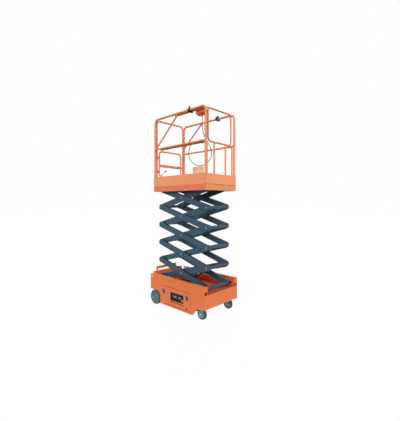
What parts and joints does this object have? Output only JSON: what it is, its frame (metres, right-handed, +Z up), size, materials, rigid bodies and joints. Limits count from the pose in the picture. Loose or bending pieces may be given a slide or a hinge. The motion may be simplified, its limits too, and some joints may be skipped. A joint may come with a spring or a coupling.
{
  "type": "scissor lift",
  "caption": "Small self-propelled scissor lift with crossed arms, railed platform with sliding deck and rear gate, drive wheels and swivel castors.",
  "frame": {"origin": "on the ground under the middle of the base, which is the middle of the whole outline to within 8 mm", "axes": "+X towards the castors and the sliding deck end, +Y to the left, +Z up"},
  "size_m": [1.237, 0.784, 3.103],
  "materials": {
    "orange_paint": "satin",
    "arm_paint": "satin",
    "zinc_steel": "satin",
    "black_plastic": "matte",
    "black_rubber": "matte",
    "grey_tyre": "matte",
    "dark_tyre": "matte",
    "wheel_grey": "satin",
    "black_steel": "satin",
    "chrome_rod": "polished",
    "grey_metal": "satin",
    "red_plastic": "gloss",
    "light_orange_plastic": "satin",
    "orange_plastic": "satin"
  },
  "bodies": {
    "chassis": {"base_floor": "orange_paint", "base_deck": "orange_paint", "base_walls": "orange_paint", "base_channels": "orange_paint", "base_lugs": "orange_paint", "side_skins": "orange_paint", "front_panel": "orange_paint", "rear_handle": "orange_paint", "battery_block": "black_plastic", "power_unit_block": "black_steel", "door_hinges": "zinc_steel", "drive_motors": "black_steel", "castor_heads": "black_steel"},
    "side_door_left": {"side_door_left": "orange_paint", "door_latches_left": "grey_metal"},
    "side_door_right": {"side_door_right": "orange_paint", "door_latches_right": "grey_metal", "ground_panel": "black_plastic", "stop_button": "red_plastic", "key_switch": "black_plastic"},
    "rear_wheel_left": {"rear_tyre_left": "grey_tyre", "rear_rim_left": "wheel_grey"},
    "rear_wheel_right": {"rear_tyre_right": "grey_tyre", "rear_rim_right": "wheel_grey"},
    "castor_left": {"castor_fork_left": "zinc_steel"},
    "castor_right": {"castor_fork_right": "zinc_steel"},
    "castor_wheel_left": {"castor_tyre_left": "dark_tyre", "castor_hub_left": "wheel_grey"},
    "castor_wheel_right": {"castor_tyre_right": "dark_tyre", "castor_hub_right": "wheel_grey"},
    "cylinder_barrel": {"cylinder_barrel": "black_steel"},
    "cylinder_rod": {"cylinder_rod": "chrome_rod"},
    "platform": {"platform_floor": "orange_paint", "platform_frame": "orange_paint", "platform_channels": "orange_paint", "platform_lugs": "orange_paint", "toe_boards": "orange_paint", "guard_rails": "orange_paint", "rear_rails": "orange_paint", "rail_clamps": "black_plastic", "document_box": "light_orange_plastic", "gate_hinges": "zinc_steel", "gate_latch": "black_plastic"},
    "deck_extension": {"extension_deck": "orange_paint", "extension_rails": "orange_paint", "platform_control_box": "orange_plastic", "control_cable": "black_rubber"},
    "rear_gate": {"rear_gate": "orange_paint"},
    "inner_arm_1": {"inner_arm_1": "arm_paint"},
    "outer_arm_1": {"outer_arm_1": "arm_paint", "base_rollers": "black_plastic"},
    "inner_arm_2": {"inner_arm_2": "arm_paint"},
    "outer_arm_2": {"outer_arm_2": "arm_paint"},
    "inner_arm_3": {"inner_arm_3": "arm_paint"},
    "outer_arm_3": {"outer_arm_3": "arm_paint"},
    "inner_arm_4": {"inner_arm_4": "arm_paint"},
    "outer_arm_4": {"outer_arm_4": "arm_paint"},
    "inner_arm_5": {"inner_arm_5": "arm_paint", "platform_rollers": "black_plastic"},
    "outer_arm_5": {"outer_arm_5": "arm_paint"}
  },
  "joints": [
    {"name": "lift", "type": "hinge", "parent": "chassis", "child": "inner_arm_1", "pos_m": [-0.529, 0, 0.43], "axis": [0, -1, 0], "range_deg": [-10.5, 22.8]},
    {"name": "stage_1_cross", "type": "hinge", "parent": "inner_arm_1", "child": "outer_arm_1", "pos_m": [-0.00024, 0, 0.57713], "axis": [0, -1, 0], "range_deg": [-45.61, 21.01]},
    {"name": "stage_1_rear", "type": "hinge", "parent": "outer_arm_1", "child": "inner_arm_2", "pos_m": [-0.529, 0, 0.72427], "axis": [0, -1, 0], "range_deg": [-21.01, 45.61]},
    {"name": "stage_2_cross", "type": "hinge", "parent": "inner_arm_2", "child": "outer_arm_2", "pos_m": [-0.00024, 0, 0.87141], "axis": [0, -1, 0], "range_deg": [-45.61, 21.01]},
    {"name": "stage_2_rear", "type": "hinge", "parent": "outer_arm_2", "child": "inner_arm_3", "pos_m": [-0.529, 0, 1.01854], "axis": [0, -1, 0], "range_deg": [-21.01, 45.61]},
    {"name": "stage_3_cross", "type": "hinge", "parent": "inner_arm_3", "child": "outer_arm_3", "pos_m": [-0.00024, 0, 1.16568], "axis": [0, -1, 0], "range_deg": [-45.61, 21.01]},
    {"name": "stage_3_rear", "type": "hinge", "parent": "outer_arm_3", "child": "inner_arm_4", "pos_m": [-0.529, 0, 1.31281], "axis": [0, -1, 0], "range_deg": [-21.01, 45.61]},
    {"name": "stage_4_cross", "type": "hinge", "parent": "inner_arm_4", "child": "outer_arm_4", "pos_m": [-0.00024, 0, 1.45995], "axis": [0, -1, 0], "range_deg": [-45.61, 21.01]},
    {"name": "stage_4_rear", "type": "hinge", "parent": "outer_arm_4", "child": "inner_arm_5", "pos_m": [-0.529, 0, 1.60708], "axis": [0, -1, 0], "range_deg": [-21.01, 45.61]},
    {"name": "stage_5_cross", "type": "hinge", "parent": "inner_arm_5", "child": "outer_arm_5", "pos_m": [-0.00024, 0, 1.75422], "axis": [0, -1, 0], "range_deg": [-45.61, 21.01]},
    {"name": "platform_level", "type": "hinge", "parent": "outer_arm_5", "child": "platform", "pos_m": [-0.529, 0, 1.90135], "axis": [0, -1, 0], "range_deg": [-10.51, 22.81]},
    {"name": "cylinder_swing", "type": "hinge", "parent": "chassis", "child": "cylinder_barrel", "pos_m": [-0.24, 0, 0.285], "axis": [0, -1, 0], "range_deg": [-12.61, 27.37]},
    {"name": "cylinder_stroke", "type": "slide", "parent": "cylinder_barrel", "child": "cylinder_rod", "axis": [0.8402, 0, 0.5422], "range_m": [-0.05456, 0.11789]},
    {"name": "extension_slide", "type": "slide", "parent": "platform", "child": "deck_extension", "axis": [1, 0, 0], "range_m": [0, 0.5]},
    {"name": "gate_hinge", "type": "hinge", "parent": "platform", "child": "rear_gate", "pos_m": [-0.552, -0.271, 2.3], "axis": [0, 0, -1], "range_deg": [0, 75]},
    {"name": "door_left_hinge", "type": "hinge", "parent": "chassis", "child": "side_door_left", "pos_m": [0, 0.37, 0.09], "axis": [-1, 0, 0], "range_deg": [0, 90]},
    {"name": "door_right_hinge", "type": "hinge", "parent": "chassis", "child": "side_door_right", "pos_m": [0, -0.37, 0.09], "axis": [1, 0, 0], "range_deg": [0, 90]},
    {"name": "rear_wheel_left_spin", "type": "hinge", "parent": "chassis", "child": "rear_wheel_left", "pos_m": [-0.508, 0.3325, 0.118], "axis": [0, 1, 0], "continuous": true},
    {"name": "rear_wheel_right_spin", "type": "hinge", "parent": "chassis", "child": "rear_wheel_right", "pos_m": [-0.508, -0.3325, 0.118], "axis": [0, 1, 0], "continuous": true},
    {"name": "castor_left_swivel", "type": "hinge", "parent": "chassis", "child": "castor_left", "pos_m": [0.54, 0.3, 0.175], "axis": [0, 0, 1], "continuous": true},
    {"name": "castor_left_spin", "type": "hinge", "parent": "castor_left", "child": "castor_wheel_left", "pos_m": [0.494, 0.3, 0.079], "axis": [0, 1, 0], "continuous": true},
    {"name": "castor_right_swivel", "type": "hinge", "parent": "chassis", "child": "castor_right", "pos_m": [0.54, -0.3, 0.175], "axis": [0, 0, 1], "continuous": true},
    {"name": "castor_right_spin", "type": "hinge", "parent": "castor_right", "child": "castor_wheel_right", "pos_m": [0.494, -0.3, 0.079], "axis": [0, 1, 0], "continuous": true}
  ],
  "couplings": [
    {"joint": "stage_1_cross", "follows": "lift", "ratio": -2},
    {"joint": "stage_1_rear", "follows": "lift", "ratio": 2},
    {"joint": "stage_2_cross", "follows": "lift", "ratio": -2},
    {"joint": "stage_2_rear", "follows": "lift", "ratio": 2},
    {"joint": "stage_3_cross", "follows": "lift", "ratio": -2},
    {"joint": "stage_3_rear", "follows": "lift", "ratio": 2},
    {"joint": "stage_4_cross", "follows": "lift", "ratio": -2},
    {"joint": "stage_4_rear", "follows": "lift", "ratio": 2},
    {"joint": "stage_5_cross", "follows": "lift", "ratio": -2},
    {"joint": "platform_level", "follows": "lift", "ratio": 1},
    {"joint": "cylinder_swing", "follows": "lift", "ratio": 1.2},
    {"joint": "cylinder_stroke", "follows": "lift", "m_per_rad": 0.295}
  ]
}
